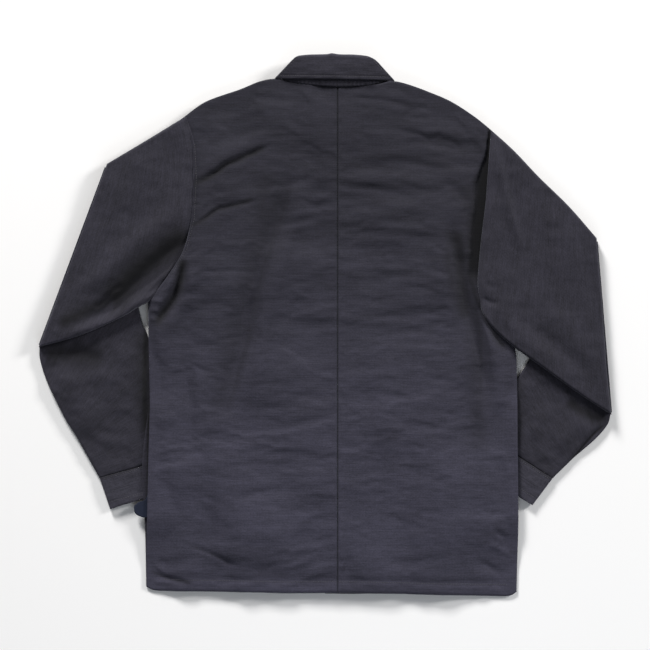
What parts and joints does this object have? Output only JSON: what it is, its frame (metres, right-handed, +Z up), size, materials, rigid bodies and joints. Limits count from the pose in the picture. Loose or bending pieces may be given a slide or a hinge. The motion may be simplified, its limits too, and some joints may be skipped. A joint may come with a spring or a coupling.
{
  "type": "welding jacket",
  "caption": "Snap-front welding jacket in heavy woven cloth, laid flat on its front with its sleeves folded under; its sleeves, elbows, left front and collar are jointed.",
  "frame": {"origin": "the middle of the underside of the bounding box: on the surface that the jacket lies on, under its middle", "axes": "+Z up from the surface, towards the back of the jacket; +Y towards the collar; +X towards the wearer's right sleeve. Left and right are the wearer's"},
  "size_m": [0.858, 0.812, 0.028],
  "materials": {
    "shell_cloth": "matt heavy plain-woven cotton, dark charcoal navy",
    "pocketing": "lighter plain-woven cotton, navy",
    "tape": "woven cord",
    "label_cloth": "blank woven label",
    "snap_metal": "blackened snap fastener"
  },
  "bodies": {
    "torso": {"back_panel_left": "shell_cloth", "back_panel_right": "shell_cloth", "front_side_panel_left": "shell_cloth", "front_panel_right": "shell_cloth", "front_facing_right": "shell_cloth", "front_snap_stud_1": "snap_metal", "front_snap_stud_2": "snap_metal", "front_snap_stud_3": "snap_metal", "front_snap_stud_4": "snap_metal", "front_snap_stud_5": "snap_metal", "collar_stand": "shell_cloth", "neck_facing": "shell_cloth", "size_label": "label_cloth", "hanger_loop": "tape", "pocket_bag_left": "pocketing", "pocket_bag_right": "pocketing"},
    "front_left": {"front_panel_left": "shell_cloth", "front_facing_left": "shell_cloth", "front_snap_cap_1": "snap_metal", "front_snap_cap_2": "snap_metal", "front_snap_cap_3": "snap_metal", "front_snap_cap_4": "snap_metal", "front_snap_cap_5": "snap_metal"},
    "collar": {"collar_leaf": "shell_cloth", "under_collar": "shell_cloth"},
    "collar_point_left": {"collar_point_left": "shell_cloth"},
    "collar_point_right": {"collar_point_right": "shell_cloth"},
    "sleeve_left": {"sleeve_upper_left": "shell_cloth"},
    "forearm_left": {"sleeve_forearm_left": "shell_cloth", "cuff_left": "shell_cloth"},
    "sleeve_right": {"sleeve_upper_right": "shell_cloth"},
    "forearm_right": {"sleeve_forearm_right": "shell_cloth", "cuff_right": "shell_cloth"}
  },
  "joints": [
    {"name": "collar_turn_up", "type": "hinge", "parent": "torso", "child": "collar", "pos_m": [0.015, 0.4035, 0.0226], "axis": [-1, 0, 0], "range_deg": [0, 150]},
    {"name": "collar_point_left_turn_up", "type": "hinge", "parent": "front_left", "child": "collar_point_left", "pos_m": [-0.041, 0.4, 0.0023], "axis": [0.3926, -0.9197, 0], "range_deg": [0, 75]},
    {"name": "collar_point_right_turn_up", "type": "hinge", "parent": "torso", "child": "collar_point_right", "pos_m": [0.071, 0.4, 0.0023], "axis": [0.3128, 0.9498, 0], "range_deg": [0, 75]},
    {"name": "front_left_open", "type": "hinge", "parent": "torso", "child": "front_left", "pos_m": [-0.18, 0, -0.0002], "axis": [0, 1, 0], "range_deg": [0, 85]},
    {"name": "shoulder_left_swing", "type": "hinge", "parent": "torso", "child": "sleeve_left", "pos_m": [-0.19, 0.15, 0.0082], "axis": [0, -1, 0], "range_deg": [0, 80]},
    {"name": "elbow_left_unfold", "type": "hinge", "parent": "sleeve_left", "child": "forearm_left", "pos_m": [-0.37835, 0.10291, 0.0083], "axis": [0.3469, 0.9379, 0], "range_deg": [0, 175]},
    {"name": "shoulder_right_swing", "type": "hinge", "parent": "torso", "child": "sleeve_right", "pos_m": [0.2, 0.15, 0.0082], "axis": [0, 1, 0], "range_deg": [0, 80]},
    {"name": "elbow_right_unfold", "type": "hinge", "parent": "sleeve_right", "child": "forearm_right", "pos_m": [0.4182, -0.0039, 0.0083], "axis": [0.0818, -0.9966, 0], "range_deg": [0, 175]}
  ],
  "couplings": [
    {"joint": "collar_point_left_turn_up", "follows": "collar_turn_up", "ratio": 0.5},
    {"joint": "collar_point_right_turn_up", "follows": "collar_turn_up", "ratio": 0.5}
  ]
}
